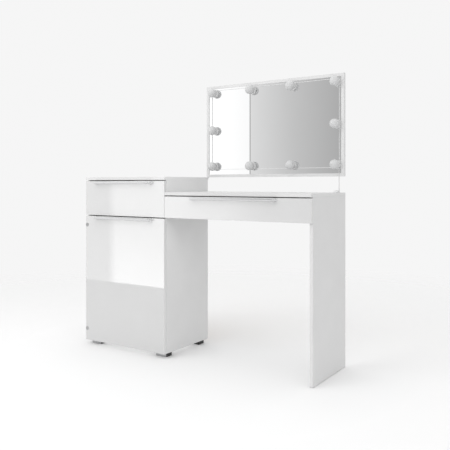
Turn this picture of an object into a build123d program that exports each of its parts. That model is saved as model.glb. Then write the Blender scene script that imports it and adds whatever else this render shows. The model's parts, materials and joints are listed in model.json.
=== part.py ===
from build123d import *
import os

# A vanity table: a cabinet with a drawer and a door, a desk with a drawer beside it, and a
# framed mirror with ten stick-on lamps above the desk. Everything is in millimetres.
#
# The model is laid out with X from the cabinet's left face, Y from the outer face of the
# door and drawer fronts (positive to the back) and Z from the floor. save() then moves each
# piece so that the origin is under the middle of the whole table's bounding box.

# ------------------------------------------------------------------- driving dimensions
board = 15.0
front_thickness = 16.0
front_gap = 0.4
reveal = 4.5
side_reveal = 0.6
depth = 355.0
edge_break = 0.6
fine_edge = 0.5
over = 1.0

cabinet_width = 515.0
cabinet_height = 852.0
foot_height = 22.0
fronts_split = 658.25

desk_width = 750.0
desk_height = 780.0

mirror_height = 462.0
mirror_clearance = 4.0
frame_width = 14.0
frame_depth = 16.0
frame_lip = 3.0
frame_wall = 7.0
glass_thickness = 4.0

handle_reach = 25.0
handle_height = 11.0
handle_drop = 3.5
cabinet_handle_length = 356.0
desk_handle_length = 422.0

# ------------------------------------------------------------------- derived levels
total_width = cabinet_width + desk_width
carcass_front = front_thickness + front_gap
cabinet_under = cabinet_height - board
desk_under = desk_height - board
cabinet_front_top = cabinet_under - reveal
desk_front_top = desk_under - reveal
fronts_bottom = fronts_split + reveal / 2
door_top = fronts_split - reveal / 2

cabinet_inner = (board, cabinet_width - board)
desk_inner = (cabinet_width + board, total_width - board)
cabinet_front_x = (side_reveal, cabinet_width - side_reveal)
desk_front_x = (cabinet_width + side_reveal, total_width - side_reveal)

# ------------------------------------------------------------------- cabinet
back_thickness = 3.0
back_inset = 3.0
back_groove = 7.0
back_play = 0.5
back_lift = 2.0
groove_play = 0.1
back_y = (depth - back_inset - back_thickness, depth - back_inset)
divider_top = door_top - over
divider_front = carcass_front + 3.0
shelf_height = 330.0
shelf_side_gap = 1.0
shelf_y = (40.0, 345.0)
pin_rows = (62.0, 312.0)
pin_radius = 2.5
pin_depth = 9.0
pin_reach = 7.0
pin_pitch = 32.0
pin_steps = range(-3, 4)

foot_size = (60.0, 45.0)
foot_fascia = 2.0
foot_front = carcass_front + board
strip_z = (0.5, foot_height)
strip_edge = 0.3

# ------------------------------------------------------------------- door hinges
hinge_heights = (80.5, 610.0)
hinge_length = 60.0
hinge_axis = (-2.8, carcass_front - front_gap / 2)
barrel_radius = 2.5
hinge_pin_radius = 1.25
pin_clearance = 0.05
knuckle_gap = 0.3
leaf_thickness = 0.8
leaf_sink = 0.7
frame_leaf_end = 13.5
door_leaf_end = 32.0
leaf_screw_x = 7.5
leaf_screw_rise = 20.0
leaf_screw_radii = (2.6, 1.5)
leaf_screw_length = 20.0
cap_radius = 9.5
cap_thickness = 1.5
cap_rim = 0.3
bolt_radius = 2.5

# ------------------------------------------------------------------- drawers and runners
runner_space = 12.7
runner_y = (20.0, 320.0)
drawer_board = 12.0
drawer_depth = 300.0
drawer_floor = 672.0
cabinet_drawer_top = 800.0
desk_drawer_top = 745.0
cabinet_runner_z = 722.0
desk_runner_z = 700.0
drawer_bottom_lift = 8.0
drawer_bottom_thickness = 3.0
drawer_groove = 6.0

# ------------------------------------------------------------------- mirror and lamps
mirror_x = (cabinet_width + mirror_clearance, total_width)
mirror_z = (cabinet_height, cabinet_height + mirror_height)
frame_front = depth - frame_depth
glass_front = frame_front + frame_lip
glass_back = glass_front + glass_thickness
bracket_thickness = 4.0
bracket_bar = 4.0
bracket_plate = 26.0
bracket_arm = 80.0
bracket_step = (5.5, 7.4)
bracket_margin = 1.0
bracket_top = 1000.0
bracket_foot = 680.0
bracket_foot_height = 80.0
bracket_right = mirror_x[1] - 31.0
bracket_screw_rise = (15.0, 55.0)
bracket_screw_length = 12.0
screw_head = (4.0, 2.0)
screw_radius = 2.0

lamp_columns = 4
lamp_margin_left = 47.0
lamp_margin_right = 37.0
lamp_margin_bottom = 54.0
lamp_margin_top = 37.0
lamp_middle_drop = 4.0
base_radius = 20.0
base_height = 7.0
base_edge = 2.0
base_recess = 3.0
led_board_size = (13.5, 1.6)
led_board_play = 0.5
neck_radius = 17.0
globe_radius = 22.0
globe_centre = 23.5
globe_wall = 1.5
cable_radius = 1.0
cable_offset = 14.0
cable_lift = 1.5
cable_insert = 3.0
lead_lift = 4.4
lead_insert = 4.0

dimmer_width = 20.0
dimmer_length = 34.0
dimmer_back_height = 11.0
dimmer_front_height = 3.0
dimmer_flat = 8.0
dimmer_edge = 0.5
dimmer_lead_inset = (2.0, 4.4)
socket_width = 9.0
socket_depth = 8.0
socket_z = (3.0, 6.2)


# ------------------------------------------------------------------- shape helpers
def block(x, y, z, edge=0.0):
    """A box between pairs of X, Y and Z limits, with its edges broken by `edge`."""
    centre = Pos((x[0] + x[1]) / 2, (y[0] + y[1]) / 2, (z[0] + z[1]) / 2)
    solid = centre * Box(x[1] - x[0], y[1] - y[0], z[1] - z[0])
    if edge:
        solid = chamfer(solid.edges(), edge)
    return solid


def rod(start, end, radius):
    """A round bar from one point to another."""
    line = Vector(*end) - Vector(*start)
    frame = Plane(origin=start, z_dir=line)
    return frame * Cylinder(radius, line.length, align=(Align.CENTER, Align.CENTER, Align.MIN))


def prism_xz(points, y):
    """An outline of (x, z) points carried from y[0] to y[1]."""
    outline = make_face(Polyline(*points, close=True))
    return Pos(0, y[1], 0) * Rot(90, 0, 0) * extrude(outline, y[1] - y[0])


def screw(seat, direction, length):
    """A pan-head screw: its head's underside is at `seat` and its shank goes along `direction`."""
    head_radius, head_height = screw_head
    way = Vector(*direction)
    top = Vector(*seat) - way * head_height
    return rod(seat, top, head_radius) + rod(seat, Vector(*seat) + way * length, screw_radius)


origin_shift = Pos(
    -(hinge_axis[0] - barrel_radius + total_width) / 2,
    -(depth + bracket_thickness + screw_head[1] - handle_reach) / 2,
    0,
)


def save(node, *pieces):
    """Write the solids of one node, moved to the table's own origin, to parts/NODE.step."""
    solids = [origin_shift * solid for piece in pieces for solid in piece.solids()]
    shape = solids[0] if len(solids) == 1 else Compound(children=solids)
    export_step(shape, f"parts/{node}.step")


# ------------------------------------------------------------------- knock-down fittings
cam_radius = 7.5
cam_depth = 12.5
cam_setback = 34.0
cam_bolt_radius = 3.2
cam_thread_radius = 2.5
cam_thread_length = 10.0
cam_clearance = 0.3
cam_bolt_stop = 1.0

cuts = {}
fittings = []


def drill(node, *cutters):
    """Remember material to take away from a board before it is written."""
    cuts.setdefault(node, []).extend(cutters)


def cam_fitting(receiver, cam_board, seat, bolt_way, face_way):
    """Join two boards: a bolt from `receiver` at `seat` reaches a cam sunk in `cam_board`."""
    frame = Plane(origin=seat, x_dir=face_way, z_dir=bolt_way)
    face = board / 2
    bolt_end = cam_setback - cam_bolt_stop
    hole_radius = cam_bolt_radius + cam_clearance
    across = Plane(origin=(face - cam_depth, 0, cam_setback), z_dir=(1, 0, 0))
    stand = (Align.CENTER, Align.CENTER, Align.MIN)

    thread = Pos(0, 0, -cam_thread_length) * Cylinder(cam_thread_radius, cam_thread_length, align=stand)
    bolt = thread + Cylinder(cam_bolt_radius, bolt_end, align=stand)
    way = Cylinder(hole_radius, cam_setback, align=stand)
    pocket = across * Cylinder(cam_radius, cam_depth, align=stand)
    fittings.append(frame * (pocket - way))
    fittings.append(frame * bolt)
    drill(receiver, frame * thread)
    drill(cam_board, frame * way, frame * pocket)


cam_y = (60.0, 300.0)
top_cam_y = (60.0, 240.0)
rail_cam_x = (cabinet_width + 185.0, total_width - 185.0)
side_middle = board / 2
bottom_middle = foot_height + board / 2
divider_middle = divider_top - board / 2
rail_middle = depth - board / 2
bearer_cam_z = 740.0

for y in cam_y:
    for node, height in (("cabinet_bottom", bottom_middle), ("cabinet_divider", divider_middle)):
        cam_fitting("cabinet_side_left", node, (cabinet_inner[0], y, height), (1, 0, 0), (0, 0, -1))
        cam_fitting("cabinet_side_right", node, (cabinet_inner[1], y, height), (-1, 0, 0), (0, 0, -1))
    left_seat = (side_middle, y, cabinet_under)
    right_seat = (cabinet_width - side_middle, y, cabinet_under)
    cam_fitting("cabinet_top", "cabinet_side_left", left_seat, (0, 0, -1), (1, 0, 0))
    cam_fitting("cabinet_top", "cabinet_side_right", right_seat, (0, 0, -1), (-1, 0, 0))

for y in top_cam_y:
    bearer_seat = (cabinet_width + side_middle, y, desk_under)
    leg_seat = (total_width - side_middle, y, desk_under)
    cam_fitting("desk_top", "desk_bearer", bearer_seat, (0, 0, -1), (1, 0, 0))
    cam_fitting("desk_top", "leg_panel", leg_seat, (0, 0, -1), (-1, 0, 0))

for x in rail_cam_x:
    cam_fitting("desk_top", "desk_back_rail", (x, rail_middle, desk_under), (0, 0, -1), (0, -1, 0))

rail_end_z = (fronts_bottom + desk_under) / 2
cam_fitting("leg_panel", "desk_back_rail", (desk_inner[1], rail_middle, rail_end_z), (-1, 0, 0), (0, -1, 0))
bearer_end = (cabinet_width + side_middle, depth - board, bearer_cam_z)
cam_fitting("desk_back_rail", "desk_bearer", bearer_end, (0, -1, 0), (1, 0, 0))


# ------------------------------------------------------------------- cabinet carcass
def shelf_pin_set():
    """Four shelf pins, and the rows of holes that they can be moved between."""
    pins = []
    pin_z = shelf_height - pin_radius
    ways = (("cabinet_side_left", cabinet_inner[0], -1), ("cabinet_side_right", cabinet_inner[1], 1))
    for node, face, outward in ways:
        for y in pin_rows:
            inside = face + outward * pin_depth
            for step in pin_steps:
                z = pin_z + step * pin_pitch
                drill(node, rod((face, y, z), (inside, y, z), pin_radius))
            pins.append(rod((inside, y, pin_z), (face - outward * pin_reach, y, pin_z), pin_radius))
    return pins


def cabinet_side(node, x, groove_x):
    """A side panel, grooved for the back and drilled for its pins and fittings."""
    groove_y = (back_y[0] - groove_play, back_y[1] + groove_play)
    groove = block(groove_x, groove_y, (foot_height - over, cabinet_height))
    panel = block(x, (carcass_front, depth), (foot_height, cabinet_under), edge_break)
    save(node, panel - [groove, *cuts[node]])


def cabinet_feet():
    """Four low feet, each a moulded block with a metal strip on its outer face."""
    width, length = foot_size
    last = depth - board
    blocks = []
    strips = []
    for left in (cabinet_inner[0], cabinet_inner[1] - width):
        x = (left, left + width)
        blocks.append(block(x, (foot_front + foot_fascia, foot_front + length), (0, foot_height), edge_break))
        strips.append(block(x, (foot_front, foot_front + foot_fascia), strip_z, strip_edge))
        blocks.append(block(x, (last - length, last - foot_fascia), (0, foot_height), edge_break))
        strips.append(block(x, (last - foot_fascia, last), strip_z, strip_edge))
    save("cabinet_feet", *blocks)
    save("foot_strips", *strips)


def cabinet():
    """The carcass between the feet and the top."""
    save("shelf_pins", *shelf_pin_set())
    groove_left = (cabinet_inner[0] - back_groove, cabinet_inner[0] + over)
    groove_right = (cabinet_inner[1] - over, cabinet_inner[1] + back_groove)
    cabinet_side("cabinet_side_left", (0, cabinet_inner[0]), groove_left)
    cabinet_side("cabinet_side_right", (cabinet_inner[1], cabinet_width), groove_right)

    top = block((0, cabinet_width), (0, depth), (cabinet_under, cabinet_height), edge_break)
    save("cabinet_top", top - cuts["cabinet_top"])

    board_end = back_y[0] - back_play
    bottom = block(cabinet_inner, (carcass_front, board_end), (foot_height, foot_height + board), edge_break)
    save("cabinet_bottom", bottom - cuts["cabinet_bottom"])
    divider = block(cabinet_inner, (divider_front, board_end), (divider_top - board, divider_top), edge_break)
    save("cabinet_divider", divider - cuts["cabinet_divider"])

    shelf_x = (cabinet_inner[0] + shelf_side_gap, cabinet_inner[1] - shelf_side_gap)
    save("cabinet_shelf", block(shelf_x, shelf_y, (shelf_height, shelf_height + board), edge_break))

    back_x = (groove_left[0] + back_play, groove_right[1] - back_play)
    back_z = (foot_height + back_lift, cabinet_under - back_play)
    save("cabinet_back", block(back_x, back_y, back_z))
    cabinet_feet()


# ------------------------------------------------------------------- desk frame
glide_size = (12.0, 30.0, 2.0)
glide_stud = (2.0, 12.0)
glide_y = (50.0, 320.0)
joining_y = (100.0, 280.0)
joining_z = (673.0, 752.0)
joining_length = 26.0


def leg_glides():
    """Two pads under the leg panel, each with a stud that is pressed into the board."""
    width, length, height = glide_size
    stud_radius, stud_length = glide_stud
    middle = total_width - board / 2
    glides = []
    for y in glide_y:
        pad = block((middle - width / 2, middle + width / 2), (y - length / 2, y + length / 2), (0, height))
        stud = rod((middle, y, height), (middle, y, height + stud_length), stud_radius)
        drill("leg_panel", stud)
        glides.append(pad + stud)
    save("leg_glides", *glides)


def joining_screws():
    """Four screws that hold the desk's bearer to the cabinet's side."""
    screws = []
    for y in joining_y:
        for z in joining_z:
            fastener = screw((desk_inner[0], y, z), (-1, 0, 0), joining_length)
            shank = rod((desk_inner[0], y, z), (desk_inner[0] - joining_length, y, z), screw_radius)
            drill("desk_bearer", shank)
            drill("cabinet_side_right", shank)
            screws.append(fastener)
    save("joining_screws", *screws)


def desk():
    """The desk's top, its one leg panel, the bearer on the cabinet and the rail at the back."""
    leg_glides()
    top = block((cabinet_width, total_width), (0, depth), (desk_under, desk_height), edge_break)
    save("desk_top", top - cuts["desk_top"])

    leg_x = (desk_inner[1], total_width)
    leg = block(leg_x, (carcass_front, depth), (glide_size[2], desk_under), edge_break)
    save("leg_panel", leg - cuts["leg_panel"])

    apron_z = (fronts_bottom, desk_under)
    bearer = block((cabinet_width, desk_inner[0]), (carcass_front, depth - board), apron_z, edge_break)
    save("desk_bearer", bearer - cuts["desk_bearer"])

    rail = block((cabinet_width, desk_inner[1]), (depth - board, depth), apron_z, edge_break)
    save("desk_back_rail", rail - cuts["desk_back_rail"])


# ------------------------------------------------------------------- handles
handle_flare = 8.0
handle_foot = 12.0
handle_bar = 5.0
handle_inner_step = 2.0
handle_bend = 4.0
handle_edge = 0.6
handle_screw_inset = 8.0
handle_screw_depth = 10.0


def bow_handle(middle, length, top, node, panel, screw_node):
    """A flat bar bent back to the front at both ends, and the two screws that hold it."""
    half = length / 2
    foot_end = half + handle_flare
    inside = half - handle_foot + handle_inner_step
    corners = [
        (foot_end, 0),
        (half, -handle_reach),
        (-half, -handle_reach),
        (-foot_end, 0),
        (handle_foot - foot_end, 0),
        (-inside, handle_bar - handle_reach),
        (inside, handle_bar - handle_reach),
        (foot_end - handle_foot, 0),
    ]
    outline = make_face(Polyline(*corners, close=True))
    bends = outline.vertices().filter_by(lambda corner: corner.Y < -over)
    bar = extrude(fillet(bends, handle_bend), handle_height)
    rims = bar.edges().group_by(Axis.Z)
    bar = Pos(middle, 0, top - handle_height) * chamfer(rims[-1] + rims[0], handle_edge)

    z = top - handle_height / 2
    screws = []
    for side in (-1, 1):
        x = middle + side * (foot_end - handle_screw_inset)
        shank = rod((x, -handle_screw_depth, z), (x, front_thickness, z), screw_radius)
        drill(panel, shank)
        bar -= shank
        screws.append(screw((x, front_thickness, z), (0, -1, 0), front_thickness + handle_screw_depth))
    save(node, bar)
    save(screw_node, *screws)


# ------------------------------------------------------------------- door
def hinge(height):
    """One leaf hinge with three knuckles: the frame's leaf, the door's leaf and the pin."""
    x, y = hinge_axis
    low = height - hinge_length / 2
    high = height + hinge_length / 2
    third = hinge_length / 3
    middle_low = low + third + knuckle_gap / 2
    middle_high = high - third - knuckle_gap / 2
    outer = ((low, low + third - knuckle_gap / 2), (high - third + knuckle_gap / 2, high))
    room = barrel_radius + knuckle_gap

    pin = rod((x, y, low), (x, y, high), hinge_pin_radius)
    loose_pin = rod((x, y, low), (x, y, high), hinge_pin_radius + pin_clearance)

    frame_leaf_y = (carcass_front + leaf_sink - leaf_thickness, carcass_front + leaf_sink)
    frame_leaf = block((x, frame_leaf_end), frame_leaf_y, (low, high))
    drill("cabinet_side_left", block((-over, frame_leaf_end), frame_leaf_y, (low, high)))
    frame_leaf -= rod((x, y, low + third - knuckle_gap), (x, y, high - third + knuckle_gap), room)
    for span in outer:
        frame_leaf += rod((x, y, span[0]), (x, y, span[1]), barrel_radius)
    frame_leaf -= pin

    door_leaf_y = (front_thickness - leaf_sink, front_thickness - leaf_sink + leaf_thickness)
    door_leaf = block((x, door_leaf_end), door_leaf_y, (low, high))
    drill("door_panel", block((0, door_leaf_end), door_leaf_y, (low, high)))
    for span in outer:
        door_leaf -= rod((x, y, span[0] - over), (x, y, span[1] + over), room)
    door_leaf += rod((x, y, middle_low), (x, y, middle_high), barrel_radius)
    door_leaf -= loose_pin
    return frame_leaf, door_leaf, pin


def leaf_screws(height):
    """The two countersunk screws that hold a frame leaf in the side panel's front edge."""
    face = carcass_front + leaf_sink - leaf_thickness
    head_radius, shank_radius = leaf_screw_radii
    screws = []
    for z in (height - leaf_screw_rise, height + leaf_screw_rise):
        stand = Plane(origin=(leaf_screw_x, face, z), z_dir=(0, 1, 0))
        low_align = (Align.CENTER, Align.CENTER, Align.MIN)
        head = stand * Cone(head_radius, shank_radius, leaf_thickness, align=low_align)
        shank = stand * Cylinder(shank_radius, leaf_screw_length, align=low_align)
        drill("cabinet_side_left", shank)
        screws.append(head + shank)
    return screws


def hinge_cap(height):
    """A round cap on the door's face; its bolt goes through the door into the hinge's leaf."""
    x = cabinet_front_x[0] + cap_radius
    cap = rod((x, 0, height), (x, -cap_thickness, height), cap_radius)
    cap = fillet(cap.edges().group_by(Axis.Y)[0], cap_thickness - cap_rim)
    bolt_end = front_thickness - leaf_sink + leaf_thickness
    bolt = rod((x, 0, height), (x, bolt_end, height), bolt_radius)
    drill("door_panel", bolt)
    return cap + bolt, bolt


catch_x = (455.0, 495.0)
catch_edge = 1.0
catch_length = 16.0
catch_height = 14.0
strike_radius = 7.0
strike_thickness = 1.2
strike_gap = 0.8


def magnet_catch():
    """A magnetic catch under the divider and the steel disc on the door that it holds."""
    divider_under = divider_top - board
    z = (divider_under - catch_height, divider_under)
    catch_front = front_thickness + strike_thickness + strike_gap
    save("magnet_catch", block(catch_x, (catch_front, catch_front + catch_length), z, catch_edge))
    x = sum(catch_x) / 2
    height = sum(z) / 2
    face = front_thickness
    save("catch_plate", rod((x, face, height), (x, face + strike_thickness, height), strike_radius))


def door():
    """The door, its two hinges, its handle and its catch."""
    frame_leaves = []
    door_leaves = []
    pins = []
    caps = []
    fasteners = []
    for height in hinge_heights:
        frame_leaf, door_leaf, pin = hinge(height)
        cap, bolt = hinge_cap(height)
        screws = leaf_screws(height)
        for fastener in screws:
            frame_leaf -= fastener
        fasteners += screws
        frame_leaves.append(frame_leaf)
        door_leaves.append(door_leaf - bolt)
        pins.append(pin)
        caps.append(cap)
    save("hinge_frame_leaves", *frame_leaves)
    save("hinge_door_leaves", *door_leaves)
    save("hinge_pins_and_screws", *pins, *fasteners)
    save("hinge_caps", *caps)

    middle = cabinet_width / 2
    names = ("door_handle", "door_panel", "door_handle_screws")
    bow_handle(middle, cabinet_handle_length, door_top - handle_drop, *names)
    magnet_catch()
    panel = block(cabinet_front_x, (0, front_thickness), (foot_height, door_top), edge_break)
    save("door_panel", panel - cuts["door_panel"])


# ------------------------------------------------------------------- drawers
rail_half_height = 17.5
rail_wall = 1.2
middle_wall = 1.0
nest_gap = 0.6
rail_depth = 9.5
middle_offset = 1.9
middle_depth = 8.6
slide_offset = 3.8
middle_short = 2.0
slide_short = 4.0


def channel(face, way, offsets, half_height, wall, y, z):
    """A channel beside a vertical face; it opens away from the face, or to it if offsets fall."""
    web, lip = offsets
    inward = 1 if lip > web else -1
    hollow_start = web + inward * wall
    hollow_end = lip + inward * over
    outer = sorted((face + way * web, face + way * lip))
    inner = sorted((face + way * hollow_start, face + way * hollow_end))
    body = block(outer, y, (z - half_height, z + half_height))
    inside = half_height - wall
    return body - block(inner, (y[0] - over, y[1] + over), (z - inside, z + inside))


def runner(face, way, z):
    """A three-part runner: the rail on the carcass, the middle member and the drawer's slide."""
    middle_half = rail_half_height - rail_wall - nest_gap
    slide_half = middle_half - middle_wall - nest_gap
    slide_y = (front_thickness + over, runner_y[1] - slide_short)
    middle_y = (runner_y[0], runner_y[1] - middle_short)
    rail = channel(face, way, (0, rail_depth), rail_half_height, rail_wall, runner_y, z)
    middle_reach = (middle_offset, middle_offset + middle_depth)
    middle = channel(face, way, middle_reach, middle_half, middle_wall, middle_y, z)
    slide = channel(face, way, (runner_space, slide_offset), slide_half, rail_wall, slide_y, z)
    return rail, middle, slide


def drawer(name, inner, front_x, front_z, box_top, runner_z, handle_length):
    """A drawer: a front, a box of thin boards with a grooved-in bottom, runners and a handle."""
    parts = [runner(inner[0], 1, runner_z), runner(inner[1], -1, runner_z)]
    save(f"{name}_runner_rails", *[rail for rail, middle, slide in parts])
    save(f"{name}_runner_middles", *[middle for rail, middle, slide in parts])
    save(f"{name}_drawer_slides", *[slide for rail, middle, slide in parts])

    left = inner[0] + runner_space
    right = inner[1] - runner_space
    back = front_thickness + drawer_depth
    box_z = (drawer_floor, box_top)
    bottom_low = drawer_floor + drawer_bottom_lift
    bottom_z = (bottom_low, bottom_low + drawer_bottom_thickness)
    bottom_x = (left + drawer_board - drawer_groove, right - drawer_board + drawer_groove)
    bottom = block(bottom_x, (front_thickness - drawer_groove, back), bottom_z)
    save(f"{name}_drawer_bottom", bottom)

    side_y = (front_thickness, back)
    side_left = block((left, left + drawer_board), side_y, box_z, edge_break)
    side_right = block((right - drawer_board, right), side_y, box_z, edge_break)
    save(f"{name}_drawer_side_left", side_left - bottom)
    save(f"{name}_drawer_side_right", side_right - bottom)

    back_x = (left + drawer_board, right - drawer_board)
    back_panel = block(back_x, (back - drawer_board, back), (bottom_z[1], box_top), edge_break)
    save(f"{name}_drawer_back", back_panel)

    front = f"{name}_drawer_front"
    names = (f"{name}_drawer_handle", front, f"{name}_drawer_handle_screws")
    bow_handle(sum(front_x) / 2, handle_length, front_z[1] - handle_drop, *names)
    panel = block(front_x, (0, front_thickness), front_z, edge_break)
    save(front, panel - [bottom, *cuts[front]])


# ------------------------------------------------------------------- mirror
def left_bracket():
    """A plate from the cabinet top's back edge, by a narrow step, to the mirror's lower corner."""
    corner_x, corner_z = cabinet_width, cabinet_height
    left = mirror_x[0] + bracket_margin
    right = left + bracket_plate
    above, below = bracket_step
    low = cabinet_under + bracket_margin
    high = corner_z - bracket_margin
    outline = [
        (corner_x - bracket_arm, low),
        (corner_x - bracket_margin, low),
        (corner_x - bracket_margin, corner_z - below - bracket_margin),
        (corner_x + below, corner_z + bracket_margin),
        (right, corner_z + bracket_margin),
        (right, bracket_top),
        (left, bracket_top),
        (left, corner_z + above + left - corner_x),
        (corner_x - above - bracket_margin, high),
        (corner_x - bracket_arm, high),
    ]
    middle = (low + high) / 2
    holes = [(corner_x - bracket_arm + rise, middle, "cabinet_top") for rise in bracket_screw_rise]
    return outline, holes, (left + right) / 2


def right_bracket():
    """A thin bar between a plate on the desk's back rail and a plate on the mirror's back."""
    middle = bracket_right
    bar = bracket_bar / 2
    plate = bracket_plate / 2
    foot_top = bracket_foot + bracket_foot_height
    low = cabinet_height + bracket_margin
    outline = [
        (middle - plate, bracket_foot),
        (middle + plate, bracket_foot),
        (middle + plate, foot_top),
        (middle + bar, foot_top),
        (middle + bar, low),
        (middle + plate, low),
        (middle + plate, bracket_top),
        (middle - plate, bracket_top),
        (middle - plate, low),
        (middle - bar, low),
        (middle - bar, foot_top),
        (middle - plate, foot_top),
    ]
    holes = [(middle, bracket_foot + rise, "desk_back_rail") for rise in bracket_screw_rise]
    return outline, holes, middle


def mirror():
    """A mirror on a backboard in a mitred frame, held above the desk by two steel brackets."""
    x0, x1 = mirror_x
    z0, z1 = mirror_z
    ix0, ix1 = x0 + frame_width, x1 - frame_width
    iz0, iz1 = z0 + frame_width, z1 - frame_width
    members = {
        "mirror_frame_top": [(x0, z1), (x1, z1), (ix1, iz1), (ix0, iz1)],
        "mirror_frame_bottom": [(x0, z0), (x1, z0), (ix1, iz0), (ix0, iz0)],
        "mirror_frame_left": [(x0, z0), (x0, z1), (ix0, iz1), (ix0, iz0)],
        "mirror_frame_right": [(x1, z0), (x1, z1), (ix1, iz1), (ix1, iz0)],
    }
    rebate_x = (x0 + frame_wall, x1 - frame_wall)
    rebate_z = (z0 + frame_wall, z1 - frame_wall)
    rebate = block(rebate_x, (glass_front, depth + over), rebate_z)
    for node, corners in members.items():
        save(node, prism_xz(corners, (frame_front, depth)) - rebate)

    play = 0.5
    sheet_x = (rebate_x[0] + play, rebate_x[1] - play)
    sheet_z = (rebate_z[0] + play, rebate_z[1] - play)
    save("mirror_glass", block(sheet_x, (glass_front, glass_back), sheet_z))
    backboard = block(sheet_x, (glass_back, depth), sheet_z)

    brackets = []
    screws = []
    for outline, desk_holes, plate_middle in (left_bracket(), right_bracket()):
        outside = depth + bracket_thickness
        bracket = chamfer(prism_xz(outline, (depth, outside)).edges(), fine_edge)
        mirror_holes = [(plate_middle, bracket_top - rise, "mirror") for rise in bracket_screw_rise]
        for x, z, receiver in desk_holes + mirror_holes:
            shank = rod((x, outside, z), (x, outside - bracket_screw_length, z), screw_radius)
            bracket -= shank
            screws.append(screw((x, outside, z), (0, -1, 0), bracket_screw_length))
            if receiver == "mirror":
                backboard -= shank
            else:
                drill(receiver, shank)
        brackets.append(bracket)
    save("mirror_backboard", backboard)
    save("mirror_brackets", *brackets)
    save("bracket_screws", *screws)


# ------------------------------------------------------------------- lamps
def lamp_places():
    """The middles of the ten lamps, as (x, z): four above, four below and one at each side."""
    left = mirror_x[0] + lamp_margin_left
    right = mirror_x[1] - lamp_margin_right
    low = mirror_z[0] + lamp_margin_bottom
    high = mirror_z[1] - lamp_margin_top
    step = (right - left) / (lamp_columns - 1)
    columns = [left + step * i for i in range(lamp_columns)]
    middle = (low + high) / 2 - lamp_middle_drop
    places = [(x, high) for x in columns]
    places += [(x, low) for x in columns]
    places += [(left, middle), (right, middle)]
    return places, columns, (low, middle, high)


def cable_run(start, end, y):
    """One straight length of cable between two lamp bases, pushed a little way into each."""
    reach = (base_radius**2 - cable_offset**2) ** 0.5 - cable_insert
    way = (Vector(*end) - Vector(*start)).normalized()
    first = Vector(*start) + way * reach
    last = Vector(*end) - way * reach
    return rod((first.X, y, first.Z), (last.X, y, last.Z), cable_radius)


def lamps():
    """Ten lamps stuck to the glass, the cable that links them and the lead to the dimmer."""
    places, columns, rows = lamp_places()
    low, middle, high = rows
    cable_y = glass_front - cable_lift
    runs = []
    for first, last in zip(columns, columns[1:]):
        for z in (low - cable_offset, high + cable_offset):
            runs.append(cable_run((first, 0, z), (last, 0, z), cable_y))
    for x in (columns[0] - cable_offset, columns[-1] + cable_offset):
        runs.append(cable_run((x, 0, low), (x, 0, middle), cable_y))
        runs.append(cable_run((x, 0, middle), (x, 0, high), cable_y))
    save("lamp_link_cable", *runs)

    lead_x = columns[-1] + cable_offset
    lead_y = glass_front - lead_lift
    lead_top = low - (base_radius**2 - cable_offset**2) ** 0.5 + cable_insert
    lead_end = desk_height + dimmer_back_height - lead_insert
    lead = rod((lead_x, lead_y, lead_top), (lead_x, lead_y, lead_end), cable_radius)
    save("lamp_lead", lead)

    stand = (Align.CENTER, Align.CENTER, Align.MIN)
    board_radius, board_height = led_board_size
    floor = base_height - base_recess
    base = Cylinder(base_radius, base_height, align=stand)
    base = fillet(base.edges().group_by(Axis.Z)[-1], base_edge)
    base -= Pos(0, 0, floor) * Cylinder(board_radius + led_board_play, base_recess, align=stand)
    led_board = Pos(0, 0, floor) * Cylinder(board_radius, board_height, align=stand)

    neck_height = globe_centre - base_height
    neck = Pos(0, 0, base_height) * Cylinder(neck_radius, neck_height, align=stand)
    inner_neck = Pos(0, 0, base_height) * Cylinder(neck_radius - globe_wall, neck_height, align=stand)
    ball = Pos(0, 0, globe_centre) * Sphere(globe_radius)
    inner_ball = Pos(0, 0, globe_centre) * Sphere(globe_radius - globe_wall)
    below = Pos(0, 0, -globe_radius) * Cylinder(base_radius * 2, base_height + globe_radius, align=stand)
    globe = (ball + neck) - (inner_ball + inner_neck) - below

    seats = [Pos(x, glass_front, z) * Rot(90, 0, 0) for x, z in places]
    save("lamp_bases", *[seat * base - [*runs, lead] for seat in seats])
    save("lamp_led_boards", *[seat * led_board for seat in seats])
    save("lamp_globes", *[seat * globe for seat in seats])
    return lead, lead_x, lead_y


def dimmer(lead, lead_x, lead_y):
    """A small wedge-shaped dimmer on the desk, with a socket for its supply in its back."""
    back = lead_y + dimmer_lead_inset[1]
    front = back - dimmer_length
    low = desk_height
    outline = [
        (front, low),
        (back, low),
        (back, low + dimmer_back_height),
        (back - dimmer_flat, low + dimmer_back_height),
        (front, low + dimmer_front_height),
    ]
    face = Plane.YZ * make_face(Polyline(*outline, close=True))
    left = lead_x + dimmer_lead_inset[0] - dimmer_width
    housing = Pos(left, 0, 0) * extrude(face, dimmer_width)
    housing = chamfer(housing.edges(), dimmer_edge)
    middle = left + dimmer_width / 2
    socket_x = (middle - socket_width / 2, middle + socket_width / 2)
    socket = block(socket_x, (back - socket_depth, back + over), (low + socket_z[0], low + socket_z[1]))
    save("dimmer_housing", housing - [socket, lead])


# ------------------------------------------------------------------- build
os.makedirs("parts", exist_ok=True)
joining_screws()
mirror()
door()
cabinet()
drawer(
    "cabinet",
    cabinet_inner,
    cabinet_front_x,
    (fronts_bottom, cabinet_front_top),
    cabinet_drawer_top,
    cabinet_runner_z,
    cabinet_handle_length,
)
drawer(
    "desk",
    desk_inner,
    desk_front_x,
    (fronts_bottom, desk_front_top),
    desk_drawer_top,
    desk_runner_z,
    desk_handle_length,
)
desk()
save("cam_fittings", *fittings)
dimmer(*lamps())
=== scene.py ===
import json
import math

import bmesh
import bpy
from mathutils import Matrix, Vector


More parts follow.
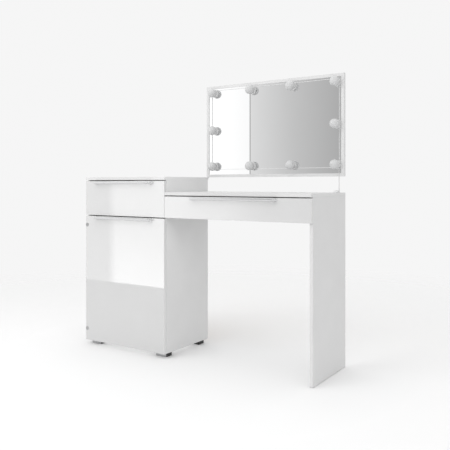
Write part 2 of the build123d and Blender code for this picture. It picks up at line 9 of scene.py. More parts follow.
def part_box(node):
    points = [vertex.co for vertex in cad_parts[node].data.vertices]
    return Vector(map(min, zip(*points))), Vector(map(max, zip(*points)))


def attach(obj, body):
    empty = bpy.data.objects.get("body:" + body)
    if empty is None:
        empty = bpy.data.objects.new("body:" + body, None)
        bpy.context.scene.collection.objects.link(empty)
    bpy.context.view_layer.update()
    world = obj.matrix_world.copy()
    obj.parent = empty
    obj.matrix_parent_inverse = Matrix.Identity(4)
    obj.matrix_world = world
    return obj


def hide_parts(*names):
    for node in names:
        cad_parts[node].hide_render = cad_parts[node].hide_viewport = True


# The looks of a vanity table with mirror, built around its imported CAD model.
# Everything is in metres, in the CAD model's own frame.

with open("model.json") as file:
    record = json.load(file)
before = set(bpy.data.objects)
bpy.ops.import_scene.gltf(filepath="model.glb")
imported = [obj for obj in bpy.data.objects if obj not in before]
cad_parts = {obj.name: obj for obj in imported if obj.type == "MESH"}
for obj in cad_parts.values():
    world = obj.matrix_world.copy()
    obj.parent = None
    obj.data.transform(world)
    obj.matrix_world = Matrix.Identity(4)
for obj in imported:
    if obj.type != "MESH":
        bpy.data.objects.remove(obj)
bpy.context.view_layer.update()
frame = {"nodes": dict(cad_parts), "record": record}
nodes = frame["nodes"]
scene = bpy.context.scene
scene.view_settings.view_transform = "Standard"

MM = 0.001

# ------------------------------------------------------------------- camera
camera_data = bpy.data.cameras.new("camera")
camera_data.sensor_width = 36.0
camera_data.lens = 48.16
camera_data.shift_y = -0.0917
camera = bpy.data.objects.new("camera", camera_data)
camera.location = (1.665, -2.356, 0.8192)
camera.rotation_euler = (math.radians(90), 0, math.radians(33.36))
scene.collection.objects.link(camera)
scene.camera = camera


# ------------------------------------------------------------------- the lamps' lead
def tube(name, route, radius, order=3):
    """A round cord along one smooth NURBS line."""
    curve = bpy.data.curves.new(name, "CURVE")
    curve.dimensions = "3D"
    curve.bevel_depth = 1.0
    curve.bevel_resolution = 5
    curve.use_fill_caps = True
    curve.resolution_u = 16
    spline = curve.splines.new("NURBS")
    spline.points.add(len(route) - 1)
    for point, place in zip(spline.points, route):
        point.co = (*place, 1.0)
        point.radius = radius
    spline.order_u = order
    spline.use_endpoint_u = True
    cord = bpy.data.objects.new(name, curve)
    scene.collection.objects.link(cord)
    return cord


LEAD_RADIUS = 1.0 * MM
lead_route = [
    (0.61215, 0.16960, 0.89472),
    (0.61205, 0.16960, 0.88270),
    (0.61185, 0.16940, 0.84080),
    (0.61205, 0.16960, 0.79900),
    (0.61215, 0.16960, 0.78700),
]
lead = tube("lamp_lead_cord", lead_route, LEAD_RADIUS)
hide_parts("lamp_lead")
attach(lead, "frame")


# ------------------------------------------------------------------- material helpers
def set_range(node, start, end, low, high):
    """Make a Map Range node take start..end to low..high."""
    for socket, value in zip(("From Min", "From Max", "To Min", "To Max"), (start, end, low, high)):
        node.inputs[socket].default_value = value


class Finish:
    """A Principled material, and the few node patterns that the finishes share."""

    def __init__(self, name, colour, roughness, metallic=0.0):
        self.material = bpy.data.materials.new(name)
        self.material.use_nodes = True
        self.tree = self.material.node_tree
        self.tree.nodes.clear()
        output = self.add("ShaderNodeOutputMaterial")
        self.shader = self.add("ShaderNodeBsdfPrincipled")
        self.link(self.shader.outputs["BSDF"], output.inputs["Surface"])
        self.place = self.add("ShaderNodeTexCoord").outputs["Object"]
        self.set("Base Color", (*colour, 1.0))
        self.set("Roughness", roughness)
        self.set("Metallic", metallic)

    def add(self, kind, **settings):
        node = self.tree.nodes.new(kind)
        for key, value in settings.items():
            setattr(node, key, value)
        return node

    def link(self, source, target):
        self.tree.links.new(source, target)

    def set(self, socket, value):
        self.shader.inputs[socket].default_value = value

    def drive(self, socket, source):
        self.link(source, self.shader.inputs[socket])

    def noise(self, scale, stretch=(1, 1, 1), detail=3.0):
        """Noise from 0 to 1; `scale` is its spots per metre."""
        mapping = self.add("ShaderNodeMapping")
        mapping.inputs["Scale"].default_value = stretch
        self.link(self.place, mapping.inputs["Vector"])
        noise = self.add("ShaderNodeTexNoise")
        noise.inputs["Scale"].default_value = scale
        noise.inputs["Detail"].default_value = detail
        self.link(mapping.outputs["Vector"], noise.inputs["Vector"])
        return noise.outputs["Fac"]

    def facing(self, axis):
        """How far the surface faces along one axis of its own, from -1 to 1."""
        parts = self.add("ShaderNodeSeparateXYZ")
        self.link(self.add("ShaderNodeTexCoord").outputs["Normal"], parts.inputs["Vector"])
        return parts.outputs[axis]

    def sideways(self):
        """0 on faces to the front, back, top and bottom, and 1 on those to either side."""
        size = self.add("ShaderNodeMath", operation="ABSOLUTE")
        self.link(self.facing("X"), size.inputs[0])
        return self.spread(size.outputs["Value"], 0.0, 1.0, 0.5, 0.8)

    def spread(self, source, low, high, start=0.3, end=0.7):
        """Take the part of `source` between start and end to the range low to high."""
        ranged = self.add("ShaderNodeMapRange")
        set_range(ranged, start, end, low, high)
        self.link(source, ranged.inputs["Value"])
        return ranged.outputs["Result"]

    def blend(self, source, first, second):
        """A colour between two, by a factor from 0 to 1."""
        mix = self.add("ShaderNodeMix", data_type="RGBA")
        self.link(source, mix.inputs["Factor"])
        for socket, colour in (("A", first), ("B", second)):
            target = next(s for s in mix.inputs if s.name == socket and s.type == "RGBA")
            if isinstance(colour, bpy.types.NodeSocket):
                self.link(colour, target)
            else:
                target.default_value = (*colour, 1.0)
        return next(s for s in mix.outputs if s.type == "RGBA")

    def bump(self, source, height, strength=1.0, socket="Normal"):
        """A relief of `height` metres."""
        bump = self.add("ShaderNodeBump")
        bump.inputs["Distance"].default_value = height
        bump.inputs["Strength"].default_value = strength
        self.link(source, bump.inputs["Height"])
        self.drive(socket, bump.outputs["Normal"])
        return self


def grey(level, warmth=0.0):
    """A near-neutral colour; positive warmth leans to yellow and negative to blue."""
    return (level * (1 + warmth), level, level * (1 - warmth))


# ------------------------------------------------------------------- finishes
def gloss_lacquer():
    """High-gloss white lacquer: a deep clear coat with a faint orange peel; its faces to either side are
    painted lighter than its front, as painted light.
    """
    finish = Finish("gloss_lacquer", grey(0.72), 0.6)
    clouds = finish.spread(finish.noise(6.0), 0.0, 1.0)
    face = finish.blend(clouds, grey(0.60), grey(0.615))
    # Painted light: the lacquer's side faces get a lighter colour than its front face.
    finish.drive("Base Color", finish.blend(finish.sideways(), face, grey(0.74)))
    finish.drive("Roughness", finish.spread(finish.noise(40.0), 0.55, 0.65))
    finish.set("Specular IOR Level", 0.2)
    finish.set("Coat Weight", 1.0)
    finish.set("Coat Roughness", 0.02)
    finish.set("Coat IOR", 1.9)
    finish.bump(finish.noise(30.0, detail=1.0), 0.006 * MM, socket="Coat Normal")
    return finish.material


def melamine():
    """White melamine facing: a satin sheen with a fine pearled emboss."""
    finish = Finish("melamine", grey(0.71), 0.4)
    clouds = finish.spread(finish.noise(9.0), 0.0, 1.0)
    finish.drive("Base Color", finish.blend(clouds, grey(0.70), grey(0.72)))
    finish.drive("Roughness", finish.spread(finish.noise(300.0), 0.36, 0.46))
    finish.bump(finish.noise(1400.0, detail=2.0), 0.006 * MM)
    return finish.material


def hardboard():
    """Thin fibreboard: white foil towards the inside, bare brown fibres behind."""
    finish = Finish("hardboard", grey(0.8), 0.5)
    behind = finish.spread(finish.facing("Y"), 0.0, 1.0, 0.4, 0.6)
    fibres = finish.spread(finish.noise(900.0, (1.0, 1.0, 0.35), 4.0), 0.0, 1.0)
    brown = finish.blend(fibres, (0.37, 0.30, 0.24), (0.49, 0.41, 0.33))
    finish.drive("Base Color", finish.blend(behind, grey(0.78), brown))
    finish.drive("Roughness", finish.spread(behind, 0.42, 0.8, 0.0, 1.0))
    finish.bump(fibres, 0.03 * MM)
    return finish.material


def frame_white():
    """White satin lacquer on the mirror's moulding."""
    finish = Finish("frame_white", grey(0.8), 0.35)
    clouds = finish.spread(finish.noise(25.0), 0.0, 1.0)
    finish.drive("Base Color", finish.blend(clouds, grey(0.70), grey(0.72)))
    finish.drive("Roughness", finish.spread(finish.noise(200.0), 0.3, 0.4))
    finish.bump(finish.noise(700.0, (0.2, 1.0, 1.0)), 0.004 * MM)
    return finish.material


def aluminium():
    """Satin anodised aluminium: brushed along; its side-facing ends are painted lighter as painted light,
    and its downward faces painted dark as painted shade.
    """
    finish = Finish("aluminium", grey(0.7, -0.006), 0.3, 1.0)
    brushed = finish.noise(2500.0, (0.01, 1.0, 1.0), 2.0)
    # Painted shade: faces that point down get a nearly black colour.
    under = finish.spread(finish.facing("Z"), 0.0, 1.0, -0.35, -0.75)
    light = finish.blend(brushed, grey(0.70, -0.006), grey(0.80, -0.004))
    # Painted light: faces to either side, at the bar's ends, get a near-white colour.
    ends_painted_light = finish.blend(finish.sideways(), light, grey(0.96, -0.004))
    finish.drive("Base Color", finish.blend(under, ends_painted_light, grey(0.13, -0.006)))
    finish.drive("Roughness", finish.spread(brushed, 0.24, 0.36))
    finish.set("Anisotropic", 0.4)
    finish.bump(brushed, 0.0015 * MM)
    return finish.material


def steel():
    """Zinc-plated steel with a faint mottle."""
    finish = Finish("steel", grey(0.6, -0.01), 0.35, 1.0)
    mottle = finish.spread(finish.noise(120.0, detail=4.0), 0.0, 1.0)
    finish.drive("Base Color", finish.blend(mottle, grey(0.40, -0.012), grey(0.52, -0.008)))
    finish.drive("Roughness", finish.spread(mottle, 0.28, 0.45, 0.0, 1.0))
    finish.bump(finish.noise(900.0), 0.002 * MM)
    return finish.material


def hinge_grey():
    """Satin nickel, turned: fine rings are lost in the sheen, so only its tone varies."""
    finish = Finish("hinge_grey", grey(0.36, -0.01), 0.38, 1.0)
    mottle = finish.spread(finish.noise(500.0), 0.0, 1.0)
    finish.drive("Base Color", finish.blend(mottle, grey(0.40, -0.01), grey(0.48, -0.01)))
    finish.drive("Roughness", finish.spread(mottle, 0.33, 0.45, 0.0, 1.0))
    finish.bump(mottle, 0.002 * MM)
    return finish.material


def bracket_white():
    """White powder coat with its fine pebbled skin."""
    finish = Finish("bracket_white", grey(0.78), 0.5)
    pebbles = finish.noise(1100.0, detail=1.0)
    finish.drive("Base Color", finish.blend(pebbles, grey(0.75), grey(0.80)))
    finish.drive("Roughness", finish.spread(pebbles, 0.42, 0.56))
    finish.bump(pebbles, 0.02 * MM)
    return finish.material


def plastic(name, colour, roughness, grain):
    """Moulded plastic with a spark-eroded grain."""
    finish = Finish(name, colour, roughness)
    spots = finish.noise(1600.0, detail=2.0)
    dark = [c * 0.95 for c in colour]
    light = [c * 1.03 for c in colour]
    finish.drive("Base Color", finish.blend(spots, dark, light))
    finish.drive("Roughness", finish.spread(spots, roughness - 0.05, roughness + 0.06))
    finish.bump(spots, grain)
    return finish.material


def opal_plastic():
    """Frosted opal diffuser: light goes a little way in and comes out soft."""
    finish = Finish("opal_plastic", grey(0.67, -0.004), 0.45)
    clouds = finish.spread(finish.noise(60.0), 0.0, 1.0)
    finish.drive("Base Color", finish.blend(clouds, grey(0.625, -0.004), grey(0.655, -0.004)))
    finish.drive("Roughness", finish.spread(finish.noise(90.0), 0.42, 0.52))
    finish.set("Subsurface Weight", 0.15)
    finish.set("Subsurface Radius", (1.0, 1.0, 1.0))
    finish.set("Subsurface Scale", 1 * MM)
    return finish.material


def led_board():
    """A white circuit board; copper shows faintly through the solder mask."""
    finish = Finish("led_board", grey(0.8, 0.01), 0.35)
    tracks = finish.spread(finish.noise(350.0, detail=0.0), 0.0, 1.0, 0.48, 0.5)
    finish.drive("Base Color", finish.blend(tracks, (0.78, 0.77, 0.72), (0.84, 0.84, 0.82)))
    finish.bump(tracks, 0.03 * MM)
    return finish.material


def mirror_silver():
    """Silvered glass, with the least haze that a wiped mirror keeps."""
    finish = Finish("mirror", grey(0.93, -0.002), 0.0, 1.0)
    haze = finish.noise(14.0, detail=4.0)
    finish.drive("Roughness", finish.spread(haze, 0.0, 0.008, 0.4, 0.8))
    finish.drive("Base Color", finish.blend(haze, grey(0.92, -0.003), grey(0.94, -0.002)))
    return finish.material


finishes = {
    "gloss_lacquer": gloss_lacquer(),
    "melamine": melamine(),
    "hardboard": hardboard(),
    "frame_white": frame_white(),
    "aluminium": aluminium(),
    "steel": steel(),
    "hinge_grey": hinge_grey(),
    "bracket_white": bracket_white(),
    "black_plastic": plastic("black_plastic", grey(0.025), 0.5, 0.01 * MM),
    "white_plastic": plastic("white_plastic", grey(0.76), 0.32, 0.004 * MM),
    "opal_plastic": opal_plastic(),
    "led_board": led_board(),
    "cable_white": plastic("cable_white", grey(0.82), 0.5, 0.001 * MM),
    "mirror": mirror_silver(),
}


def give(piece, name):
    """Put a finish on a piece, in place of any it has."""
    piece.data.materials.clear()
    piece.data.materials.append(finishes[name])


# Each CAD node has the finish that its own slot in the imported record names.
slots = {part["node"]: part["material_slot"] for part in frame["record"]["subparts"]}
for node, slot in slots.items():
    give(nodes[node], slot)
give(lead, "cable_white")


# ------------------------------------------------------------------- mesh helpers
def solids_of(node):
    """The lowest and highest corner of each separate solid in a CAD node."""
    mesh = bmesh.new()
    mesh.from_mesh(nodes[node].data)
    bmesh.ops.remove_doubles(mesh, verts=mesh.verts, dist=0.001 * MM)
    waiting = set(mesh.verts)
    corners = []
    while waiting:
        reached = [waiting.pop()]
        places = []
        while reached:
            vert = reached.pop()
            places.append(vert.co.copy())
            for edge in vert.link_edges:
                other = edge.other_vert(vert)
                if other in waiting:
                    waiting.remove(other)
                    reached.append(other)
        low = Vector(min(place[i] for place in places) for i in range(3))
        high = Vector(max(place[i] for place in places) for i in range(3))
        corners.append((low, high))
    mesh.free()
    return sorted(corners, key=lambda pair: tuple(round(value, 4) for value in pair[0]))


def arc(centre, radius, start, end, steps):
    """Points along a circle, from one angle in degrees to another."""
    angles = [math.radians(start + (end - start) * i / steps) for i in range(steps + 1)]
    return [(centre[0] + radius * math.cos(a), centre[1] + radius * math.sin(a)) for a in angles]


def turned(outline, segments=48):
    """A closed (radius, height) outline in millimetres, turned about Z, as a bmesh."""
    mesh = bmesh.new()
    rings = []
    for radius, height in outline:
        ring = []
        for i in range(segments):
            angle = 2 * math.pi * i / segments
            place = (radius * math.cos(angle) * MM, radius * math.sin(angle) * MM, height * MM)
            ring.append(mesh.verts.new(place))
        rings.append(ring)
    for first, second in zip(rings, rings[1:] + rings[:1]):
        for i in range(segments):
            j = (i + 1) % segments
            mesh.faces.new((first[i], first[j], second[j], second[i]))
    bmesh.ops.remove_doubles(mesh, verts=mesh.verts, dist=0.001 * MM)
    bmesh.ops.dissolve_degenerate(mesh, edges=mesh.edges, dist=0.001 * MM)
    bmesh.ops.recalc_face_normals(mesh, faces=mesh.faces)
    return mesh


def prism(outline, low, high, taper=1.0):
    """An (x, y) outline carried from height `low`, where it is scaled by `taper`, to `high`."""
    mesh = bmesh.new()
    under = [mesh.verts.new((x * taper, y * taper, low)) for x, y in outline]
    over = [mesh.verts.new((x, y, high)) for x, y in outline]
    mesh.faces.new(under)
    mesh.faces.new(over)
    for i in range(len(outline)):
        j = (i + 1) % len(outline)
        mesh.faces.new((under[i], under[j], over[j], over[i]))
    bmesh.ops.recalc_face_normals(mesh, faces=mesh.faces)
    return mesh


def as_object(name, mesh, smooth_under=35.0):
    """Turn a bmesh into an object in the scene; edges flatter than the angle are smooth."""
    data = bpy.data.meshes.new(name)
    mesh.normal_update()
    for edge in mesh.edges:
        edge.smooth = edge.is_manifold and edge.calc_face_angle(0.0) < math.radians(smooth_under)
    for face in mesh.faces:
        face.smooth = True
    mesh.to_mesh(data)
    mesh.free()
    piece = bpy.data.objects.new(name, data)
    scene.collection.objects.link(piece)
    return piece


def carve(mesh, cutter):
    """Take one closed bmesh away from another."""
    body = as_object("carve_body", mesh)
    tool = as_object("carve_tool", cutter)
    boolean = body.modifiers.new("cut", "BOOLEAN")
    boolean.object = tool
    boolean.solver = "EXACT"
    bpy.context.view_layer.update()
    evaluated = body.evaluated_get(bpy.context.evaluated_depsgraph_get())
    result = bmesh.new()
    result.from_mesh(evaluated.to_mesh())
    evaluated.to_mesh_clear()
    for piece in (body, tool):
        data = piece.data
        bpy.data.objects.remove(piece)
        bpy.data.meshes.remove(data)
    return result


def copies(mesh, places, way):
    """Copies of a bmesh made about Z, set at each place with Z turned to `way`."""
    turn = way.to_track_quat("Z", "Y").to_matrix().to_4x4()
    pattern = bpy.data.meshes.new("pattern")
    mesh.to_mesh(pattern)
    mesh.free()
    whole = bmesh.new()
    for place in places:
        before = len(whole.verts)
        whole.from_mesh(pattern)
        whole.verts.ensure_lookup_table()
        bmesh.ops.transform(whole, matrix=Matrix.Translation(place) @ turn, verts=whole.verts[before:])
    bpy.data.meshes.remove(pattern)
    return whole


def stand_for(piece, node, body):
    """Show a piece in place of a CAD node, with the finish of that node's slot."""
    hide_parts(node)
    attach(piece, body)
    give(piece, slots[node])


# ------------------------------------------------------------------- lamps
# Heights are from the glass, in millimetres: a base, and a globe whose neck flows into its ball.
BASE_RADIUS, BASE_HEIGHT, BASE_EDGE = 20.0, 7.0, 2.0
RECESS_RADIUS, RECESS_FLOOR = 14.0, 4.0
GROOVE_INNER, GROOVE_OUTER, GROOVE_FLOOR = 17.1, 18.0, 6.3
NECK_RADIUS, NECK_END = 17.0, 8.5
BALL_RADIUS, BALL_CENTRE = 22.0, 23.5
FLOW_RADIUS, FLOW_ANGLE = 3.0, 36.87
WALL = 1.5


def globe_skin(inset, steps):
    """The outline of a globe from its rim to its crown, `inset` inside its outer face."""
    flow_centre = (NECK_RADIUS + FLOW_RADIUS, NECK_END)
    flow = arc(flow_centre, FLOW_RADIUS + inset, 180, 180 - FLOW_ANGLE, 4)
    ball = arc((0, BALL_CENTRE), BALL_RADIUS - inset, -FLOW_ANGLE, 90, steps)
    return [(NECK_RADIUS - inset, BASE_HEIGHT), *flow, *ball[1:]]


base_outline = [
    (0, 0),
    (BASE_RADIUS, 0),
    *arc((BASE_RADIUS - BASE_EDGE, BASE_HEIGHT - BASE_EDGE), BASE_EDGE, 0, 90, 6),
    (GROOVE_OUTER, GROOVE_FLOOR),
    (GROOVE_INNER, GROOVE_FLOOR),
    (GROOVE_INNER, BASE_HEIGHT),
    (RECESS_RADIUS, BASE_HEIGHT),
    (RECESS_RADIUS, RECESS_FLOOR),
    (0, RECESS_FLOOR),
]
lamp_seats = []
for low, high in solids_of("lamp_bases"):
    seat = (low + high) / 2
    seat.y = high.y
    lamp_seats.append(seat)

OUTWARD = Vector((0, -1, 0))
bases = as_object("lamp_base_mouldings", copies(turned(base_outline), lamp_seats, OUTWARD))
stand_for(bases, "lamp_bases", "frame")
globe_outline = globe_skin(0.0, 24) + globe_skin(WALL, 18)[::-1]
globes = as_object("lamp_globe_shells", copies(turned(globe_outline, 64), lamp_seats, OUTWARD), 60.0)
stand_for(globes, "lamp_globes", "frame")


# ------------------------------------------------------------------- screws
HEAD_RADIUS, HEAD_HEIGHT, HEAD_RIM, HEAD_CHAMFER = 4.0, 2.0, 0.8, 0.3
DOME_CENTRE, DOME_RADIUS = (2.6, 0.6), 1.4
SHANK_RADIUS, CORE_RADIUS, THREAD_PITCH = 2.0, 1.55, 1.4
RECESS_ARM, RECESS_WIDTH, RECESS_DEPTH, RECESS_TAPER = 2.2, 0.45, 1.3, 0.4


def cross_outline(arm, width):
    """The twelve corners of a cross, in metres."""
    quarter = [(arm, -width), (arm, width), (width, width)]
    turns = [(1, 0), (0, 1), (-1, 0), (0, -1)]
    return [((x * c - y * s) * MM, (x * s + y * c) * MM) for c, s in turns for x, y in quarter]


def pan_screw(length):
    """A threaded screw with a pan head and a cross recess; its head's underside is at zero."""
    outline = [(0, -length), (CORE_RADIUS, THREAD_PITCH - length)]
    height = 2 * THREAD_PITCH - length
    while height < -THREAD_PITCH:
        outline += [(SHANK_RADIUS, height), (CORE_RADIUS, height + THREAD_PITCH / 2)]
        height += THREAD_PITCH
    outline += [(SHANK_RADIUS, -THREAD_PITCH / 2), (SHANK_RADIUS, 0), (HEAD_RADIUS - HEAD_CHAMFER, 0)]
    outline += [(HEAD_RADIUS, HEAD_CHAMFER), (HEAD_RADIUS, HEAD_RIM)]
    outline += [*arc(DOME_CENTRE, DOME_RADIUS, 10, 90, 5), (0, HEAD_HEIGHT)]
    recess = cross_outline(RECESS_ARM, RECESS_WIDTH)
    cutter = prism(recess, (HEAD_HEIGHT - RECESS_DEPTH) * MM, (HEAD_HEIGHT + 1) * MM, RECESS_TAPER)
    return carve(turned(outline, 24), cutter)


def screws(node, body, way):
    """Put a real screw in place of each plain one of a node; `way` points out of its head."""
    seats = []
    for low, high in solids_of(node):
        seat = (low + high) / 2
        top = max(low.dot(way), high.dot(way)) - HEAD_HEIGHT * MM
        seat += way * (top - seat.dot(way))
        seats.append(seat)
        length = (high - low).dot(way) / MM - HEAD_HEIGHT
    stand_for(as_object(f"{node}_threaded", copies(pan_screw(length), seats, way)), node, body)


BACKWARD = Vector((0, 1, 0))
screws("bracket_screws", "frame", BACKWARD)
screws("joining_screws", "frame", Vector((1, 0, 0)))
screws("door_handle_screws", "door", BACKWARD)
screws("cabinet_drawer_handle_screws", "cabinet_drawer", BACKWARD)
screws("desk_drawer_handle_screws", "desk_drawer", BACKWARD)


# ------------------------------------------------------------------- dimmer
DIMMER_FLAT, DIMMER_LIP, DIMMER_BEVEL = 8.0, 3.0, 0.9
PAD_RADIUS, PAD_RISE, PAD_EDGE, PAD_DISH, PAD_ROOT = 3.6, 0.45, 0.3, 0.15, 1.0
SOCKET_WIDTH, SOCKET_DEPTH, SOCKET_LOW, SOCKET_HIGH = 9.0, 8.0, 3.0, 6.2


def dimmer():
    """A moulded wedge with a round key on its slope and a socket in its back."""
    low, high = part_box("dimmer_housing")
    flat_start = high.y - DIMMER_FLAT * MM
    slope_foot = low.z + DIMMER_LIP * MM
    outline = [
        (-low.z, low.y),
        (-low.z, high.y),
        (-high.z, high.y),
        (-high.z, flat_start),
        (-slope_foot, low.y),
    ]
    wedge = prism(outline, low.x, high.x)
    upright = Matrix(((0, 0, 1, 0), (0, 1, 0, 0), (-1, 0, 0, 0), (0, 0, 0, 1)))
    bmesh.ops.transform(wedge, matrix=upright, verts=wedge.verts)
    bmesh.ops.recalc_face_normals(wedge, faces=wedge.faces)
    bevel = DIMMER_BEVEL * MM
    bmesh.ops.bevel(wedge, geom=wedge.edges, offset=bevel, segments=4, profile=0.5, affect="EDGES")

    centre = (low + high) / 2
    half = SOCKET_WIDTH / 2 * MM
    depth = SOCKET_DEPTH * MM
    corners = [(-half, -depth), (half, -depth), (half, depth), (-half, depth)]
    slot = prism(corners, low.z + SOCKET_LOW * MM, low.z + SOCKET_HIGH * MM)
    bmesh.ops.translate(slot, vec=(centre.x, high.y, 0), verts=slot.verts)
    housing = carve(wedge, slot)

    slope = Vector((0, -(high.z - slope_foot), flat_start - low.y)).normalized()
    pad_place = Vector((centre.x, (low.y + flat_start) / 2, (slope_foot + high.z) / 2))
    edge = arc((PAD_RADIUS - PAD_EDGE, PAD_RISE - PAD_EDGE), PAD_EDGE, 0, 90, 4)
    pad = turned([(0, -PAD_ROOT), (PAD_RADIUS, -PAD_ROOT), *edge, (0, PAD_RISE - PAD_DISH)], 32)
    pad = copies(pad, [pad_place], slope)
    key = bpy.data.meshes.new("key")
    pad.to_mesh(key)
    pad.free()
    housing.from_mesh(key)
    bpy.data.meshes.remove(key)
    stand_for(as_object("dimmer_moulding", housing), "dimmer_housing", "frame")


dimmer()


# ------------------------------------------------------------------- handles
HANDLE_FLARE, HANDLE_FOOT, HANDLE_BAR, HANDLE_STEP = 8.0, 12.0, 5.0, 2.0
HANDLE_BEND, HANDLE_EDGE, HANDLE_LIP = 4.0, 0.5, 1.5


def handle(node, body):
    """A flat bar bent back to the front at both ends, bevelled wider along its lower face edge."""
    low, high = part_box(node)
    centre = (low.x + high.x) / 2
    reach = high.y - low.y
    foot_end = (high.x - low.x) / 2
    half = foot_end - HANDLE_FLARE * MM
    inside = half - (HANDLE_FOOT - HANDLE_STEP) * MM
    inner_end = foot_end - HANDLE_FOOT * MM
    bar = HANDLE_BAR * MM - reach
    right = [(foot_end, 0), (half, -reach)]
    inner = [(-inner_end, 0), (-inside, bar)]
    outline = right + [(-x, y) for x, y in right[::-1]] + inner + [(-x, y) for x, y in inner[::-1]]
    mesh = prism(outline, low.z, high.z)
    bmesh.ops.translate(mesh, vec=(centre, high.y, 0), verts=mesh.verts)

    face_y = high.y - MM
    bends = []
    for edge in mesh.edges:
        first, last = edge.verts
        if abs(first.co.z - last.co.z) > MM and first.co.y < face_y:
            bends.append(edge)
    bmesh.ops.bevel(mesh, geom=bends, offset=HANDLE_BEND * MM / 2, segments=6, profile=0.5, affect="EDGES")
    mesh.normal_update()
    lip = []
    rim = []
    for edge in mesh.edges:
        heights = {round(vert.co.z, 5) for vert in edge.verts}
        if len(heights) == 1:
            outer = any(face.normal.y < -0.1 for face in edge.link_faces)
            is_low = heights == {round(low.z, 5)}
            (lip if outer and is_low else rim).append(edge)
    bmesh.ops.bevel(mesh, geom=lip, offset=HANDLE_LIP * MM, segments=3, profile=0.5, affect="EDGES")
    rim = [edge for edge in rim if edge.is_valid]
    bmesh.ops.bevel(mesh, geom=rim, offset=HANDLE_EDGE * MM, segments=2, profile=0.5, affect="EDGES")
    stand_for(as_object(f"{node}_bar", mesh, 50.0), node, body)


handle("door_handle", "door")
handle("cabinet_drawer_handle", "cabinet_drawer")
handle("desk_drawer_handle", "desk_drawer")

# ------------------------------------------------------------------- stage
WHITE_ROOM = 0.92
RIGHT_WALL = 0.78
FLOOR_REACH = 30.0
FLOOR_FADE = (1.0, 3.2)


def panel(name, corners):
    """A flat four-cornered stage piece."""
    data = bpy.data.meshes.new(name)
    data.from_pydata(corners, [], [(0, 1, 2, 3)])
    piece = bpy.data.objects.new(name, data)
    scene.collection.objects.link(piece)
    return piece


def floor_material():
    """Matt white that fades out with distance from the table, so that no horizon shows."""
    finish = Finish("stage_floor", grey(0.95), 0.9)
    length = finish.add("ShaderNodeVectorMath", operation="LENGTH")
    finish.link(finish.place, length.inputs[0])
    fade = finish.spread(length.outputs["Value"], 0.0, 1.0, *FLOOR_FADE)
    clear = finish.add("ShaderNodeBsdfTransparent")
    mix = finish.add("ShaderNodeMixShader")
    finish.link(fade, mix.inputs["Fac"])
    finish.link(finish.shader.outputs["BSDF"], mix.inputs[1])
    finish.link(clear.outputs["BSDF"], mix.inputs[2])
    output = next(n for n in finish.tree.nodes if n.type == "OUTPUT_MATERIAL")
    finish.link(mix.outputs["Shader"], output.inputs["Surface"])
    return finish.material


far = FLOOR_REACH
floor = panel("stage_floor", [(-far, -far, 0), (far, -far, 0), (far, far, 0), (-far, far, 0)])
floor.data.materials.append(floor_material())

world = bpy.data.worlds.new("world")
scene.world = world
world.use_nodes = True
background = world.node_tree.nodes["Background"]
background.inputs["Color"].default_value = (*grey(WHITE_ROOM), 1.0)
sky_place = world.node_tree.nodes.new("ShaderNodeTexCoord")
sky_parts = world.node_tree.nodes.new("ShaderNodeSeparateXYZ")
sky_tone = world.node_tree.nodes.new("ShaderNodeMapRange")
sky_tone.interpolation_type = "SMOOTHSTEP"
sky_tone.inputs["To Min"].default_value = 1.0
sky_tone.inputs["To Max"].default_value = RIGHT_WALL
world.node_tree.links.new(sky_place.outputs["Generated"], sky_parts.inputs["Vector"])
world.node_tree.links.new(sky_parts.outputs["X"], sky_tone.inputs["Value"])
world.node_tree.links.new(sky_tone.outputs["Result"], background.inputs["Strength"])


def only_on(light, name, receivers):
    """Let a light reach only some CAD nodes."""
    group = bpy.data.collections.new(name)
    for node in receivers:
        group.objects.link(nodes[node])
    light.light_linking.receiver_collection = group


def softbox(name, place, target, size, power):
    """A rectangular area light that shines on a target and isn't seen in reflections."""
    data = bpy.data.lights.new(name, "AREA")
    data.shape = "RECTANGLE"
    data.size, data.size_y = size
    data.energy = power
    light = bpy.data.objects.new(name, data)
    light.location = place
    aim = Vector(target) - Vector(place)
    light.rotation_euler = aim.to_track_quat("-Z", "Y").to_euler()
    light.visible_glossy = False
    light.visible_camera = False
    scene.collection.objects.link(light)
    return light


# Each softbox: its name, place, target, size and power in watts.
softbox("key", (-1.3, -3.0, 2.3), (0, 0, 0.6), (2.4, 2.4), 27.0)
softbox("fill", (2.6, -1.0, 2.3), (0, 0, 0.7), (2.0, 2.0), 5.0)
softbox("overhead", (0.3, -0.6, 3.2), (0.3, -0.6, 0), (2.5, 2.5), 10.0)

# A faint light under the cabinet softens the shadow between its feet.
shade_low, shade_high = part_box("cabinet_bottom")
shade = (shade_low + shade_high) / 2
shade_size = (shade_high.x - shade_low.x, shade_high.y - shade_low.y)
shade.z = shade_low.z - 1 * MM
softbox("under_cabinet", shade, shade - Vector((0, 0, 1)), shade_size, 0.18)

# A small light brightens the cabinet's side above the desk.
side_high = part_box("cabinet_side_right")[1]
above_desk = (side_high.x, -0.05, side_high.z - 0.04)
kicker = softbox("kicker", (0.45, -0.45, 0.95), above_desk, (0.3, 0.3), 1.0)
only_on(kicker, "lit_by_kicker", ["cabinet_side_right", "cabinet_top"])

# ------------------------------------------------------------------- what the gloss reflects
# Two upright things in one plane in front of the table, seen only in reflections: a light near
# the floor for the fronts, and above it three pieces of wall for the mirror.
CARD_Y = -1.658
CARD_SPLIT = 0.865
CARD_TOP = 3.2
FRONT_LIGHT_X = (-2.85, 0.05)
FRONT_LIGHT_UNIT = 4.0
LOW_BAND = (0.05, 0.5)
LOW_GAIN = 1.45


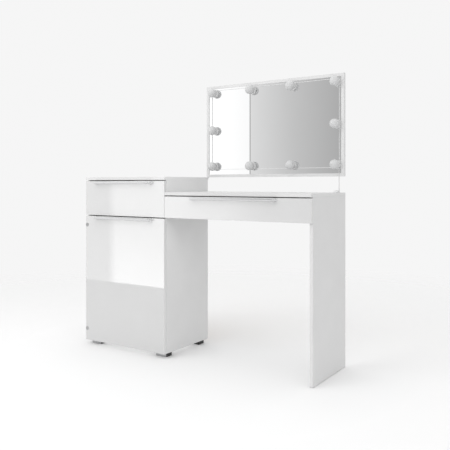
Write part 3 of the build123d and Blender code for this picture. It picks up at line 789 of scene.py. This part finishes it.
def tones_along(tree, place, x_range, stops, peak, low_gain=1.0):
    """An emission whose radiance goes straight-lined through the (x, radiance) stops.

    It rises to `low_gain` times that near the floor.
    """
    x0, x1 = x_range
    parts = tree.nodes.new("ShaderNodeSeparateXYZ")
    along = tree.nodes.new("ShaderNodeMapRange")
    ramp = tree.nodes.new("ShaderNodeValToRGB")
    glow = tree.nodes.new("ShaderNodeEmission")
    along.inputs["From Min"].default_value = x0
    along.inputs["From Max"].default_value = x1
    elements = ramp.color_ramp.elements
    while len(elements) < len(stops):
        elements.new(0.5)
    for element, (x, radiance) in zip(elements, stops):
        element.position = (x - x0) / (x1 - x0)
        element.color = (*grey(radiance / peak), 1.0)
    gain = tree.nodes.new("ShaderNodeMapRange")
    set_range(gain, *LOW_BAND, peak * low_gain, peak)
    tree.links.new(parts.outputs["Z"], gain.inputs["Value"])
    tree.links.new(gain.outputs["Result"], glow.inputs["Strength"])
    tree.links.new(place, parts.inputs["Vector"])
    tree.links.new(parts.outputs["X"], along.inputs["Value"])
    tree.links.new(along.outputs["Result"], ramp.inputs["Fac"])
    tree.links.new(ramp.outputs["Color"], glow.inputs["Color"])
    return glow.outputs["Emission"]


def mirror_card(name, x_range, stops, peak):
    """A glowing part of the wall that the mirror shows; it hides the white room behind it."""
    x0, x1 = x_range
    z0, z1 = CARD_SPLIT, CARD_TOP
    corners = [(x0, CARD_Y, z0), (x1, CARD_Y, z0), (x1, CARD_Y, z1), (x0, CARD_Y, z1)]
    piece = panel(name, corners)
    material = bpy.data.materials.new(name)
    material.use_nodes = True
    tree = material.node_tree
    tree.nodes.clear()
    place = tree.nodes.new("ShaderNodeTexCoord").outputs["Object"]
    output = tree.nodes.new("ShaderNodeOutputMaterial")
    tree.links.new(tones_along(tree, place, x_range, stops, peak), output.inputs["Surface"])
    piece.data.materials.append(material)
    piece.visible_camera = False
    piece.visible_diffuse = False
    piece.visible_transmission = False
    piece.visible_shadow = False


def front_light(stops, peak):
    """A light that only the lacquered fronts reflect, on top of the white room."""
    x0, x1 = FRONT_LIGHT_X
    data = bpy.data.lights.new("front_light", "AREA")
    data.shape = "RECTANGLE"
    data.size = x1 - x0
    data.size_y = CARD_SPLIT
    data.energy = FRONT_LIGHT_UNIT * data.size * data.size_y
    data.use_nodes = True
    tree = data.node_tree
    tree.nodes.clear()
    place = tree.nodes.new("ShaderNodeNewGeometry").outputs["Position"]
    output = tree.nodes.new("ShaderNodeOutputLight")
    glow = tones_along(tree, place, FRONT_LIGHT_X, stops, peak, LOW_GAIN)
    tree.links.new(glow, output.inputs["Surface"])
    light = bpy.data.objects.new("front_light", data)
    light.location = ((x0 + x1) / 2, CARD_Y, CARD_SPLIT / 2)
    light.rotation_euler = (math.radians(90), 0, 0)
    light.visible_camera = False
    light.visible_diffuse = False
    light.visible_transmission = False
    scene.collection.objects.link(light)
    only_on(light, "fronts", [node for node, slot in slots.items() if slot == "gloss_lacquer"])


# The fronts show a bright middle between dimmer parts.
fronts_see = [(-2.85, 0.42), (-1.93, 0.42), (-1.84, 1.32), (-1.27, 1.32), (-1.09, 1.20), (-0.70, 0.95)]
fronts_see += [(-0.566, 0.55), (-0.421, 0.35), (-0.149, 0.20)]
front_light(fronts_see, 2.0)

# The mirror shows a bright wall, the thin dark edge of an opening, and a dimmer wall.
OPENING_X = (-0.958, -0.949)
WALL_REACH = 4.0
left_wall = (-WALL_REACH, OPENING_X[0])
right_wall = (OPENING_X[1], WALL_REACH)
bright_wall = [(-WALL_REACH, 0.9), (-1.8, 1.15), (-1.364, 1.15), (OPENING_X[0], 1.03)]
dark_edge = [(OPENING_X[0], 0.38), (OPENING_X[1], 0.38)]
dim_wall = [(OPENING_X[1], 0.76), (-0.55, 0.58), (-0.146, 0.445), (1.2, 0.6), (WALL_REACH, 0.9)]
mirror_card("stage_wall_left", left_wall, bright_wall, 1.2)
mirror_card("stage_wall_edge", OPENING_X, dark_edge, 1.0)
mirror_card("stage_wall_right", right_wall, dim_wall, 1.0)
